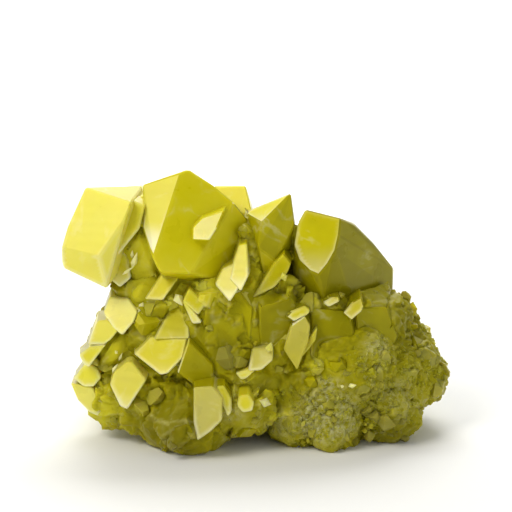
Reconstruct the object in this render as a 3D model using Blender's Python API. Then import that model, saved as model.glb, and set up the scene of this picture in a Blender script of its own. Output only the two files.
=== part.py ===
"""Native sulfur crystal cluster: crystals grown together on a granular mass, one solid piece.

Frame: metres, +Z up, +X right, +Y away from the show side. The origin is the middle of the
footprint, on the surface that the cluster stands on. Lengths in the tables are millimetres.
"""

import math
import random

import bmesh
import bpy
from mathutils import Matrix, Vector, noise
from mathutils.bvhtree import BVHTree

MM = 0.001
NODE = "sulfur_crystal_cluster"

# Orthorhombic sulfur: the lengths of its a and c axes, with b as 1.
AXIS_A, AXIS_C = 0.813, 1.903
# Its crystal forms. Each (h, k, l) face is repeated with every choice of signs.
STEEP_PYRAMID, BLUNT_PYRAMID, BASE, DOME = (1, 1, 1), (1, 1, 3), (0, 0, 1), (0, 1, 1)

EDGE_WEAR = 0.35  # width of the worn chamfer along the edges of the broad crystals
FLATNESS = math.radians(2.5)  # corners of one face may be this far out of plane

# The granular mass: middle and radii of each lump (x, y, z).
LUMPS = {
    "heart": {"middle": (-6, 4, 27), "radii": (27, 25, 27)},
    "haunch": {"middle": (23, 5, 19), "radii": (28, 26, 22)},
    "shoulders": {"middle": (-19, 7, 47), "radii": (21, 18, 15)},
    "chest": {"middle": (-21, -6, 28), "radii": (15, 14.5, 14)},
    "throat": {"middle": (-31, -2, 50), "radii": (10, 10.5, 12)},
    "hollow": {"middle": (0, -1, 52), "radii": (9, 10, 10)},
    "hip": {"middle": (36, 1, 30), "radii": (8, 12, 8.5)},
    "knuckle": {"middle": (49.5, -1, 15), "radii": (4.5, 6, 4.5)},
    "instep": {"middle": (-31, -12, 8.5), "radii": (7, 9, 6)},
    "apron": {"middle": (4, -6, 25), "radii": (22, 14, 14)},
    "nape": {"middle": (-29, -3, 37), "radii": (11, 14, 12)},
    "cheek": {"middle": (-37.5, -2, 26), "radii": (9, 12, 10)},
    "heel": {"middle": (-31, 3, 17), "radii": (16, 22, 14)},
    "heel_toe": {"middle": (-40, -8, 11), "radii": (8, 9, 7)},
    "left_foot": {"middle": (-19, -12, 8), "radii": (13.5, 17.5, 11)},
    "web": {"middle": (-4, -19, 11), "radii": (9, 8, 6.5)},
    "middle_foot": {"middle": (10.5, -10, 7), "radii": (6, 12, 9)},
    "front_foot": {"middle": (21, -12, 7), "radii": (9, 12, 10)},
    "right_foot": {"middle": (36, -6, 8), "radii": (10, 13, 11)},
    "tail": {"middle": (39, 4, 16), "radii": (13, 18, 13)},
    "back": {"middle": (-4, 20, 20), "radii": (32, 15, 21)},
}
# How fine the facets of a lump are, and the roughness as a share of the radius and its grain.
LUMP_TEXTURE = {"fineness": 2, "roughness": 0.16, "grain": 9}

# Crystals that show a broad face. "middle" is a point of the face, "turn" and "lean" are the
# degrees that it faces right and upwards, and "face" is its outline from there (right, up),
# seen square from the show side. "corners" are more corner points (right, back, up). Without
# them the crystal widens by "flare" towards a foot that lies "root" behind the face.
FLARE, ROOT = 1.15, 9.0
BROAD_CRYSTALS = {
    "shoulder_block": {
        "middle": (-44, -13, 61), "turn": -22, "lean": 28,
        "face": [(-2.5, 9), (10.5, 6), (9, 2), (2, -8), (-8.5, -6.5), (-7, -1)],
        "corners": [
            (-8, -1, -12), (4, -6, -16.5), (5, 0, -9), (9, 3, -3), (6, 4, -15),
            (-2, 17, 7), (12, 19, 7.5), (13, 19, -5), (-11, 17, -14), (1, 21, -21),
        ],
    },
    "shoulder_step": {
        "middle": (-35, -13, 59.5), "turn": -6, "lean": 24, "root": 14, "flare": 1.05,
        "face": [(-3, 7), (1.5, 7.5), (5, 6), (3.5, 0), (-2, -6.5), (-6, -4)],
    },
    "shoulder_chip": {
        "middle": (-37, -12, 49), "turn": -14, "lean": 12, "root": 14,
        "face": [(-1, 5), (2, 3), (3, -3), (0, -5.5), (-3.5, -3), (-3, 2)],
    },
    "saddle": {
        "middle": (-31, -6, 61.5), "turn": -18, "lean": 38, "root": 16,
        "face": [(-9, 4.5), (6, 6), (5, -3), (0, -6), (-6, -2)],
    },
    "summit": {
        "middle": (-18, -13, 61.5), "turn": 10, "lean": 24,
        "face": [
            (-2.5, 12.5), (-0.5, 13.5), (6.5, 9), (12, 4.5), (1, -5.5), (0.5, -13),
            (-7.5, -12.5), (-9.5, -9), (-6.5, -4),
        ],
        "corners": [
            (17.5, 8, -3), (17, 10, -21), (-13, 7.5, 9), (-12.5, 1, -2), (-10.5, -1, -3.5),
            (-9.5, 29, 4.5), (6.5, 23, 6), (13.5, 33, -2.5), (-12.5, 15, -9),
            (-8, 17, -21), (15, 21, -26),
        ],
    },
    "summit_chip": {
        "middle": (-13, -17, 61), "turn": -14, "lean": 34, "root": 8,
        "face": [(4.5, 4), (2.5, -0.5), (0.5, -3.5), (-4, -3.5), (-4, -0.5), (-1.5, 2)],
    },
    "back_tooth": {
        "middle": (-5.5, 9, 64), "turn": -20, "lean": 30,
        "face": [(-6.5, 3.5), (2.5, 4), (3.5, 0.5), (4.5, -3.5), (-0.5, -3.5), (-4, -1)],
        "corners": [
            (-6, 15, 0.5), (3, 15, 0.5), (5.5, 13, -7), (-1.5, -1, -10), (6.5, 7, -11.5),
        ],
    },
    "wedge": {
        "middle": (2, -8, 64), "turn": -36, "lean": 46,
        "face": [(-4, -0.5), (7.5, 4.5), (-0.5, -3), (-4.5, -1.5)],
        "corners": [
            (8, 0.5, 0.5), (8.5, 0, -4), (3.5, -4, -13.5), (-1.5, -5, -9.5), (-2, 20, -4),
            (7, 20, 0), (9.5, 24, -8.5), (0.5, 0, -22.5), (8.5, 10, -20),
        ],
    },
    "wedge_foot": {
        "middle": (5, -15, 47), "turn": -4, "lean": 12, "root": 8,
        "face": [(2.5, 6), (4.5, 3.5), (3.5, 1), (0, -3), (-6, -6), (-3.5, -2), (0, 3.5)],
    },
    "dome": {
        "middle": (17, -11, 55.5), "turn": -12, "lean": 17,
        "face": [
            (-3.5, 8.5), (6, 6.5), (5.5, 2), (4.5, -2), (2.5, -5.5), (0, -8.5),
            (-2.5, -7.5), (-5, -4.5), (-6.5, -0.5), (-5.5, 5),
        ],
        "corners": [
            (10, 5.5, 4), (16, 12, -2.5), (22, 17, -10.5), (22, 17, -17.5),
            (9.5, 4, -17), (1.5, -2, -15.5), (-2, 25, 4), (11.5, 29, 0.5),
            (24, 35, -14.5), (-4.5, 23, -2), (-7, 7, -14.5), (19.5, 21, -23.5),
        ],
    },
    "upper_blade": {
        "middle": (-4.5, -17, 50), "turn": -22, "lean": 27, "flare": 1.25,
        "face": [(0, 5.5), (2, 6), (2.5, -2), (0.5, -6), (-2.5, -3.5), (-1.5, 1.5)],
    },
    "lower_blade": {
        "middle": (-7, -17.5, 46.5), "turn": -22, "lean": 27, "flare": 1.25,
        "face": [(-2, 2.5), (1, 4), (4.5, 1.5), (0, -5.5), (-4, -1.5)],
    },
    "neck_block": {
        "middle": (-36.5, -16, 36.5), "turn": -22, "lean": 28, "root": 11,
        "face": [(-3.5, 4), (2, 4), (4.5, 1), (3.5, -1.5), (0.5, -5), (-2, -3.5), (-5, 0)],
    },
    "neck_slab": {
        "middle": (-25.5, -16, 44), "turn": -14, "lean": 34,
        "face": [(0, 3.5), (4.5, 2.5), (0.5, -3), (-4.5, -3)],
    },
    "cheek_upper": {
        "middle": (-41.5, -14, 30.5), "turn": -30, "lean": 30, "flare": 1.3,
        "face": [(-2, 3), (0.5, 3.5), (4.5, 2), (2, -1), (0, -2.5), (-4.5, -3)],
    },
    "cheek_lower": {
        "middle": (-45, -15.5, 25), "turn": -33, "lean": 24, "flare": 1.3,
        "face": [(-0.5, 2), (4, 3), (-0.5, -3), (-2, -2.5), (-3.5, -0.5)],
    },
    "heel_upper": {
        "middle": (-46, -13, 18.5), "turn": -33, "lean": 20,
        "face": [(-2, 2), (0.5, 3), (2.5, 2), (3.5, 0), (1.5, -2.5), (-1.5, -3), (-4.5, -1.5)],
    },
    "heel_lower": {
        "middle": (-46.5, -13, 11.5), "turn": -33, "lean": -2, "flare": 1.05,
        "face": [(-5, 4), (1.5, 4), (4, -0.5), (3, -4), (0.5, -3.5), (-3, -0.5)],
    },
    "diamond": {
        "middle": (-34.5, -21.5, 18.5), "turn": -20, "lean": 26, "root": 14, "flare": 1.2,
        "face": [(-0.5, 5.5), (1, 5.5), (5, 1.5), (0, -6), (-2, -5.5), (-5, -0.5), (-4, 2.5)],
    },
    "breast": {
        "middle": (-25, -21.5, 27), "turn": -16, "lean": 32, "root": 12,
        "face": [(-8, -0.5), (-3.5, 4), (6.5, 4), (5.5, -0.5), (1.5, -4.5), (-0.5, -5)],
    },
    "breast_top": {
        "middle": (-21.5, -17.5, 34.5), "turn": -10, "lean": 38, "root": 10,
        "face": [(-1.5, 4.5), (1, 4.5), (3.5, -1), (3.5, -3.5), (-6, -4)],
    },
    "breast_side": {
        "middle": (-15.5, -22.5, 23), "turn": 16, "lean": -4, "root": 12,
        "face": [(-2.5, 8), (4, 1), (4, -4), (-1, -4.5), (-5.5, -0.5)],
    },
    "collar_block": {
        "middle": (-16.5, -19, 40.5), "turn": 8, "lean": 30,
        "face": [(-1.5, 3.5), (3, -0.5), (1, -3), (-3, 0.5)],
    },
    "collar_strip": {
        "middle": (-17.5, -19, 38), "turn": -25, "lean": 20,
        "face": [(-2.5, 2.5), (-1.5, 3), (3, -2.5), (0.5, -3)],
    },
    "toe_spear": {
        "middle": (-13, -30, 13.5), "turn": -10, "lean": 14, "root": 12,
        "face": [(-3.5, 6), (1.5, 6.5), (4, 3.5), (4, -2), (1, -5), (-2.5, -7.5), (-3.5, -3)],
    },
    "toe_side": {
        "middle": (-8, -28, 15.5), "turn": 8, "lean": 24,
        "face": [(-2.5, 4), (-0.5, 4), (1.5, 0.5), (1.5, -2.5), (0.5, -3.5), (-1, -0.5)],
    },
    "pebble": {
        "middle": (-2.5, -28.5, 15), "turn": -10, "lean": 25, "root": 12,
        "face": [(-2, 2), (0.5, 2.5), (2, 0.5), (1.5, -1.5), (-1, -2), (-2.5, -0.5)],
    },
    "claw": {
        "middle": (1.5, -23.5, 26), "turn": -12, "lean": 30,
        "face": [(-2.5, 2.5), (0, 2), (3, 3), (3, 0), (0, -2.5), (-3.5, -3)],
    },
    "claw_tip": {
        "middle": (-2.5, -24, 22), "turn": -20, "lean": 20,
        "face": [(-3, 0), (1, 1.5), (3, 2), (0, -1), (-1.5, -1.5)],
    },
    "leaf": {
        "middle": (11.5, -21, 31), "turn": -10, "lean": 15,
        "face": [(-2, 3.5), (1.5, 6), (3, 3.5), (2.5, -0.5), (-0.5, -8), (-4, -3)],
    },
    "leaf_spike": {
        "middle": (14.5, -20.5, 30), "turn": -14, "lean": 10,
        "face": [(2, 4), (1.5, 0.5), (-2, -4), (-1.5, -0.5)],
    },
    "left_fleck": {
        "middle": (11.5, -19, 37.5), "turn": -15, "lean": 30,
        "face": [(-3.5, -1), (-1.5, -2), (2.5, 0), (3, 1), (1.5, 2), (-2, 0.5)],
    },
    "middle_fleck": {
        "middle": (20.5, -17, 40.5), "turn": -15, "lean": 30,
        "face": [(-2.5, -0.5), (-1, -1.5), (2, 0), (2, 1), (0, 1)],
    },
    "right_fleck": {
        "middle": (26.5, -17, 38.5), "turn": -18, "lean": 28,
        "face": [(-3, -1.5), (-1, -3), (2, -0.5), (2.5, 1), (2, 3), (-0.5, 1.5)],
    },
    "belly": {
        "middle": (-7, -18, 35.5), "turn": -6, "lean": 14, "root": 14, "flare": 1.7,
        "face": [(-5, 7), (2, 7.5), (6, 3), (5.5, -5), (-3, -7), (-7, -1)],
    },
    "belly_side": {
        "middle": (6, -18, 34.5), "turn": 12, "lean": 4, "root": 14, "flare": 1.7,
        "face": [(-5, 5), (3, 7), (6.5, 1), (3, -7), (-5, -6)],
    },
    "flank": {
        "middle": (20, -17, 31.5), "turn": 4, "lean": 16, "root": 14, "flare": 1.7,
        "face": [(-5, 7), (5, 6), (7, -2), (2, -9), (-5, -6)],
    },
    "flank_side": {
        "middle": (33, -13, 31), "turn": 26, "lean": 14, "root": 14, "flare": 1.6,
        "face": [(-6, 7), (3, 6), (6, -2), (2, -8), (-5, -5)],
    },
}

# Small crystals that break the outline on the right: (x, y, z) of the tip, and length.
RIM_SEED = 11
RIM_CRYSTALS = [
    (41, 0, 35, 7), (43, -1, 32, 7), (45.5, -2, 30, 8), (48, 2, 27, 7), (50.5, -2, 24, 8),
    (52, 2, 20, 7), (54.5, 0, 17.5, 9), (54.5, -3, 14, 9), (52.5, 2, 10, 8), (49, -2, 8, 8),
]

# Crystals over the rest of the surface: how many are tried, shortest and longest, how far a tip
# stands up, and the least y of where they grow. The show side has only the last kind.
SCATTER = {
    "large": {"count": 80, "length": (28, 44), "rise": (4, 9), "least_y": 0.3, "seed": 3},
    "medium": {"count": 60, "length": (15, 22), "rise": (2.5, 5), "least_y": 0.1, "seed": 5},
    "bedded": {"count": 80, "length": (15, 24), "rise": (0.8, 2.2), "least_y": -1, "seed": 8},
}
CORE = Vector((0, 4, 24))  # the crystals grow away from here
FAR = 120  # outside of the cluster, as seen from the core
CLEARANCE = 2  # none grows where a broad crystal stands this far out
OUTWARD_PULL, SURFACE_PULL, TILT = 0.6, 0.8, 0.5  # what sets a crystal's direction
# How far out the blunt pyramid, the base and the dome cut a crystal: least and most.
BLUNTING, CAPPING, SHAVING = (0.55, 0.8), (0.62, 0.95), (1.1, 1.7)

# Rounded grains on the lower right, around a core of their own: how many are tried, their
# radius and how unevenly it is stretched, the share of it that is sunk, and where they may lie.
COBBLES = {
    "core": Vector((22, 2, 13)), "count": 112, "radius": (2, 4.5), "stretch": (0.8, 1.2),
    "sunk": 0.4, "least_x": 2, "most_outward": (1, 0.5, 0.5), "seed": 21,
}
COBBLE_TEXTURE = {"fineness": 1, "roughness": 0.25, "grain": 2.5}

SPIRAL_DROP, SPIRAL_JITTER = 1.75, 0.3  # the spiral of directions ends short of straight down
GROUND = 400  # the block that cuts the underside flat


def clear_scene():
    for obj in list(bpy.data.objects):
        bpy.data.objects.remove(obj)


def sulfur_material():
    material = bpy.data.materials.new("native_sulfur")
    material.use_nodes = True
    shader = material.node_tree.nodes["Principled BSDF"]
    shader.inputs["Base Color"].default_value = (0.43, 0.37, 0.012, 1.0)
    shader.inputs["Roughness"].default_value = 0.35
    shader.inputs["Metallic"].default_value = 0.0
    return material


def add_object(name, bm, collection):
    mesh = bpy.data.meshes.new(name)
    bm.to_mesh(mesh)
    bm.free()
    obj = bpy.data.objects.new(name, mesh)
    collection.objects.link(obj)
    return obj


def hull(points):
    """A bmesh of the convex solid around the points, its nearly flat faces joined."""
    bm = bmesh.new()
    for point in points:
        bm.verts.new(point)
    made = bmesh.ops.convex_hull(bm, input=bm.verts)
    inner = {v for v in made["geom_interior"] + made["geom_unused"] if v.is_valid}
    bmesh.ops.delete(bm, geom=list(inner), context="VERTS")
    bmesh.ops.dissolve_limit(bm, angle_limit=FLATNESS, verts=bm.verts, edges=bm.edges)
    bmesh.ops.recalc_face_normals(bm, faces=bm.faces)
    return bm


def wear_edges(bm, width):
    """Chamfers every edge of a convex crystal."""
    bmesh.ops.bevel(
        bm,
        geom=bm.edges[:] + bm.verts[:],
        offset=width,
        segments=1,
        affect="EDGES",
        clamp_overlap=True,
    )
    bmesh.ops.recalc_face_normals(bm, faces=bm.faces)


def broad_crystal(shape):
    """A bmesh of a crystal that shows one broad face."""
    middle = Vector(shape["middle"])
    turn, lean = math.radians(shape["turn"]), math.radians(shape["lean"])
    flare, root = shape.get("flare", FLARE), shape.get("root", ROOT)
    offsets = [Vector(corner) for corner in shape.get("corners", [])]
    for right, up in shape["face"]:
        back = math.tan(turn) * right + math.tan(lean) / math.cos(turn) * up
        offsets.append(Vector((right, back, up)))
        if "corners" not in shape:
            offsets.append(Vector((flare * right, back + root, flare * up)))
    bm = hull([(middle + offset) * MM for offset in offsets])
    wear_edges(bm, EDGE_WEAR * MM)
    return bm


def face_normals(form):
    """The outward normals of a crystal form, for every sign of h, k and l."""
    h, k, l = form
    signs = [(i, j, m) for i in (1, -1) for j in (1, -1) for m in (1, -1)]
    normals = {(i * h / AXIS_A + 0.0, j * k + 0.0, m * l / AXIS_C) for i, j, m in signs}
    return [Vector(n).normalized() for n in sorted(normals)]


def dipyramid(length, blunting, capping, shaving):
    """A bmesh of one sulfur crystal, its long axis along Z and its middle at the origin.

    length is tip to tip of the sharp dipyramid. blunting, capping and shaving say how far out
    the blunt pyramid, the base and the dome cut it: 1 only touches a corner of it.
    """
    half = length / 2
    waist = half / AXIS_C
    cuts = [(n, abs(n.z) * half) for n in face_normals(STEEP_PYRAMID)]
    cuts += [(n, abs(n.z) * half * blunting) for n in face_normals(BLUNT_PYRAMID)]
    cuts += [(n, half * capping) for n in face_normals(BASE)]
    cuts += [(n, abs(n.y) * waist * shaving) for n in face_normals(DOME)]
    bm = bmesh.new()
    bmesh.ops.create_cube(bm, size=2 * length)
    for normal, distance in cuts:
        everything = bm.verts[:] + bm.edges[:] + bm.faces[:]
        bmesh.ops.bisect_plane(
            bm, geom=everything, plane_co=normal * distance, plane_no=normal, clear_outer=True
        )
        rim = [edge for edge in bm.edges if edge.is_boundary]
        bmesh.ops.holes_fill(bm, edges=rim)
    bmesh.ops.remove_doubles(bm, verts=bm.verts, dist=length * 1e-3)
    bmesh.ops.recalc_face_normals(bm, faces=bm.faces)
    return bm


def free_crystal(tip, direction, length, chance):
    """A bmesh of a dipyramid that points along direction and ends at tip."""
    blunting = chance.uniform(*BLUNTING)
    capping = blunting * chance.uniform(*CAPPING)
    bm = dipyramid(length * MM, blunting, capping, chance.uniform(*SHAVING))
    middle = tip - direction * length / 2 * capping
    turn = direction.to_track_quat("Z", "Y").to_matrix().to_4x4()
    roll = Matrix.Rotation(chance.uniform(0, math.pi), 4, "Z")
    bm.transform(Matrix.Translation(middle * MM) @ turn @ roll)
    return bm


def granular_lump(middle, radii, fineness, roughness, grain):
    """A bmesh of a rough ellipsoid."""
    middle, radii = Vector(middle), Vector(radii)
    bm = bmesh.new()
    bmesh.ops.create_icosphere(bm, subdivisions=fineness, radius=1)
    for vert in bm.verts:
        reach = Vector([a * b for a, b in zip(vert.co, radii)])
        rough = noise.fractal((middle + reach) / grain, 1.0, 2.0, 3)
        vert.co = (middle + reach * (1 + roughness * rough)) * MM
    return bm


def surface_of(objects):
    """A search tree over the meshes of the objects."""
    verts, faces = [], []
    for obj in objects:
        start = len(verts)
        verts += [v.co.copy() for v in obj.data.vertices]
        faces += [[start + i for i in p.vertices] for p in obj.data.polygons]
    return BVHTree.FromPolygons(verts, faces)


def spread_directions(count, chance):
    """Directions spread evenly, save straight down, on a spiral with the golden angle."""
    golden = math.pi * (3 - math.sqrt(5))
    for i in range(count):
        height = 1 - SPIRAL_DROP * (i + 0.5) / count
        around = golden * i + chance.uniform(-SPIRAL_JITTER, SPIRAL_JITTER)
        level = math.sqrt(1 - height * height)
        yield Vector((level * math.cos(around), level * math.sin(around), height))


def scattered_crystals(kind, rules, masses, shown, collection):
    """Crystals spread evenly over the masses, away from the broad crystals."""
    chance = random.Random(rules["seed"])
    mass_surface, shown_surface = surface_of(masses), surface_of(shown)
    for outward in spread_directions(rules["count"], chance):
        start = (CORE + outward * FAR) * MM
        hit, normal, _, distance = mass_surface.ray_cast(start, -outward)
        shown_hit, _, _, shown_distance = shown_surface.ray_cast(start, -outward)
        length, rise = chance.uniform(*rules["length"]), chance.uniform(*rules["rise"])
        tilt = Vector([chance.uniform(-TILT, TILT) for _ in range(3)])
        if hit is None or outward.y < rules["least_y"]:
            continue
        if shown_hit is not None and shown_distance < distance + CLEARANCE * MM:
            continue
        direction = (OUTWARD_PULL * outward + SURFACE_PULL * normal + tilt).normalized()
        bm = free_crystal(hit / MM + direction * rise, direction, length, chance)
        add_object(f"{kind}_crystal", bm, collection)


def cobbles(masses, collection):
    """Rounded grains, half sunk in the lower right of the mass."""
    chance = random.Random(COBBLES["seed"])
    mass_surface = surface_of(masses)
    for outward in spread_directions(COBBLES["count"], chance):
        start = (COBBLES["core"] + outward * FAR) * MM
        hit, normal, _, _ = mass_surface.ray_cast(start, -outward)
        radius = chance.uniform(*COBBLES["radius"])
        radii = [radius * chance.uniform(*COBBLES["stretch"]) for _ in range(3)]
        if hit is None or hit.x < COBBLES["least_x"] * MM:
            continue
        if any(part > most for part, most in zip(outward, COBBLES["most_outward"])):
            continue
        middle = hit / MM - normal * radius * COBBLES["sunk"]
        add_object("cobble", granular_lump(middle, radii, **COBBLE_TEXTURE), collection)


def grow_together(collection, scene):
    """One mesh of everything in the collection, flat where it stands."""
    core = collection.objects[0]
    collection.objects.unlink(core)
    scene.objects.link(core)
    join = core.modifiers.new("join", "BOOLEAN")
    join.operation = "UNION"
    join.operand_type = "COLLECTION"
    join.collection = collection
    join.solver = "EXACT"

    bm = bmesh.new()
    bmesh.ops.create_cube(bm, size=GROUND * MM)
    bmesh.ops.translate(bm, vec=(0, 0, -GROUND / 2 * MM), verts=bm.verts)
    ground = add_object("ground_cutter", bm, scene)
    ground.hide_render = True
    ground.display_type = "WIRE"
    flatten = core.modifiers.new("flatten", "BOOLEAN")
    flatten.operation = "DIFFERENCE"
    flatten.object = ground
    flatten.solver = "EXACT"
    graph = bpy.context.evaluated_depsgraph_get()
    return bpy.data.meshes.new_from_object(core.evaluated_get(graph))


def keep_outer_surface(mesh):
    """Deletes all but the largest connected surface, so hollows shut in by the union fill up."""
    bm = bmesh.new()
    bm.from_mesh(mesh)
    unseen, largest = set(bm.faces), set()
    while unseen:
        front = [unseen.pop()]
        surface = set(front)
        while front:
            near = {other for edge in front.pop().edges for other in edge.link_faces} & unseen
            unseen -= near
            surface |= near
            front += near
        largest = max(largest, surface, key=len)
    inner = [face for face in bm.faces if face not in largest]
    bmesh.ops.delete(bm, geom=inner, context="FACES")
    bm.to_mesh(mesh)
    bm.free()


def main():
    """Builds the cluster and returns where its origin lies in the tables' frame."""
    clear_scene()
    scene = bpy.context.scene.collection
    grown = bpy.data.collections.new("grown_together")
    scene.children.link(grown)

    masses, shown = [], []
    for name, shape in LUMPS.items():
        masses.append(add_object(name, granular_lump(**shape, **LUMP_TEXTURE), grown))
    for name, shape in BROAD_CRYSTALS.items():
        shown.append(add_object(name, broad_crystal(shape), grown))
    chance = random.Random(RIM_SEED)
    for x, y, z, length in RIM_CRYSTALS:
        tip = Vector((x, y, z))
        crystal = free_crystal(tip, (tip - CORE).normalized(), length, chance)
        add_object("rim_crystal", crystal, grown)
    for kind, rules in SCATTER.items():
        scattered_crystals(kind, rules, masses, shown, grown)
    cobbles(masses, grown)

    mesh = grow_together(grown, scene)
    keep_outer_surface(mesh)
    corners = [v.co for v in mesh.vertices]
    low = Vector([min(c[i] for c in corners) for i in range(3)])
    high = Vector([max(c[i] for c in corners) for i in range(3)])
    origin = Vector(((low.x + high.x) / 2, (low.y + high.y) / 2, low.z))
    mesh.transform(Matrix.Translation(-origin))
    clear_scene()
    cluster = bpy.data.objects.new(NODE, mesh)
    scene.objects.link(cluster)
    mesh.materials.clear()
    mesh.materials.append(sulfur_material())
    return origin


if __name__ == "__main__":
    main()
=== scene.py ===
import itertools
import math

import bmesh
import bpy
import numpy as np
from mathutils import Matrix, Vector, noise


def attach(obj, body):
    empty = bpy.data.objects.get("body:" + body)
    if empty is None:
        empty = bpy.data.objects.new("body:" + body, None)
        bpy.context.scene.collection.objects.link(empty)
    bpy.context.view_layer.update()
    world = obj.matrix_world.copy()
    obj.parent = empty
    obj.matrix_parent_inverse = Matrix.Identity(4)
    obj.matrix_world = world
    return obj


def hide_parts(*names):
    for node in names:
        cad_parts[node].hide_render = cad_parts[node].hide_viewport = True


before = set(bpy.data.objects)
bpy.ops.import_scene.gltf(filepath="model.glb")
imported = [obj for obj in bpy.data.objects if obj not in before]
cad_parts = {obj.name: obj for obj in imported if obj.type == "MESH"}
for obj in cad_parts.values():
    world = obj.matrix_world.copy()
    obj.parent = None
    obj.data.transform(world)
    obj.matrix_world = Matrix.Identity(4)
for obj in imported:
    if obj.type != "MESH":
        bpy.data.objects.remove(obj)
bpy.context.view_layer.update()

mm = 0.001
nodeName = "sulfur_crystal_cluster"
bodyName = "root"
tableOrigin = np.array([-0.04, 5.19, 0.0])  # the part's own tables count from here, millimetres


def toFrame(points):  # from the part's tables, millimetres, to the frame, metres
    return (np.asarray(points, float) - tableOrigin) * mm


def toTable(points):  # from the frame, metres, to the part's tables, millimetres
    return points / mm + tableOrigin


def linearColour(code):  # sRGB hex to the linear values that shaders take
    parts = [int(code[i:i + 2], 16) / 255 for i in (1, 3, 5)]
    return [c / 12.92 if c <= 0.04045 else ((c + 0.055) / 1.055) ** 2.4 for c in parts] + [1.0]


def column(table, key, missing=0):  # one value of each of the table's entries
    return np.array([entry.get(key, missing) for entry in table.values()], float)


def lerp(a, b, t):
    return a + (b - a) * t


def smooth(t, low, high):  # 0 below low, 1 above high, an S curve between
    t = np.clip((t - low) / (high - low), 0, 1)
    return t * t * (3 - 2 * t)


def cellNumber(cells, seed):
    # One even random number, 0 to 1, for each whole-number cell: its place and the seed times
    # large odd numbers, the sum's lowest 32 bits folded twice, and of these sixteen.
    x, y, z = cells.astype(np.int64).T
    mixed = x * 374761393 + y * 668265263 + z * 1440662683 + seed * 974711
    bits = (mixed & 0xFFFFFFFF).astype(np.uint64)
    for shift, factor in ((13, 1274126177), (16, 2246822519)):
        bits = ((bits ^ (bits >> np.uint64(shift))) * np.uint64(factor)) & np.uint64(0xFFFFFFFF)
    return ((bits >> np.uint64(8)) & np.uint64(0xFFFF)).astype(float) / 0xFFFF


def cellSpot(cells, seed):  # three such numbers for each cell, a random spot in a unit cube
    return np.stack([cellNumber(cells, seed + axis) for axis in range(3)], axis=1)


def softNoise(points, size, seed, octaves=1):
    # Value noise, -1 to 1: random numbers at the corners of cubes of that size, blended by an
    # S curve between them, each octave half the size and half the height of the one before.
    total = np.zeros(len(points))
    height, reach = 1.0, 0.0
    for octave in range(octaves):
        p = points / (size / 2 ** octave)
        base = np.floor(p)
        t = p - base
        t = t * t * (3 - 2 * t)
        layer = np.zeros(len(points))
        for corner in itertools.product((0, 1), repeat=3):
            weight = np.prod(np.where(corner, t, 1 - t), axis=1)
            layer += weight * cellNumber(base + corner, seed + 31 * octave)
        total += height * (2 * layer - 1)
        reach += height
        height /= 2
    return total / reach


def druseRelief(points, size, seed):
    # Blunt crystals packed side by side: each cube of that size holds one peak at a random
    # spot, which falls off along three random directions, whichever is steepest. The highest
    # peak round about shows. Heights are in sizes and differ by up to half a size.
    p = points / size
    base = np.floor(p)
    highest = np.full(len(p), -9.0)
    for step in itertools.product((-1, 0, 1), repeat=3):
        cell = base + step
        away = p - cell - cellSpot(cell, seed)
        fall = np.zeros(len(p))
        for side in (10, 20, 30):
            lean = cellSpot(cell, seed + side) - 0.5
            lean /= np.linalg.norm(lean, axis=1)[:, None] + 1e-9
            fall = np.maximum(fall, np.abs((away * lean).sum(axis=1)))
        highest = np.maximum(highest, 0.5 * cellNumber(cell, seed + 7) - fall)
    return highest


def nearestSpots(points, size, seed):
    # One random spot in each cube of that size: how far the three spots nearest to a point
    # are, in sizes, and the numbers of their cubes, which has room for 1000 each way.
    p = points / size
    steps = np.array(list(itertools.product((-1, 0, 1), repeat=3)))
    cells = (np.floor(p) + steps[:, None]).reshape(-1, 3)
    away = (cells + cellSpot(cells, seed)).reshape(len(steps), -1, 3) - p
    gaps = np.sqrt((away ** 2).sum(axis=2))
    cubes = ((cells + 500) @ [1000000, 1000, 1]).astype(np.int64).reshape(len(steps), -1)
    nearest = np.argsort(gaps, axis=0, kind="stable")[:3]
    return np.take_along_axis(gaps, nearest, 0), np.take_along_axis(cubes, nearest, 0)


# The least cosine between a face and the surface, how wide a ridge is and how far a face stands
# off at most, both in sizes, and the bends, as 1 - cosine, that make a ridge.
faceLimits = {"slope": 0.35, "ridge": 0.03, "most": 0.22, "bend": (0.02, 0.12)}


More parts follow.
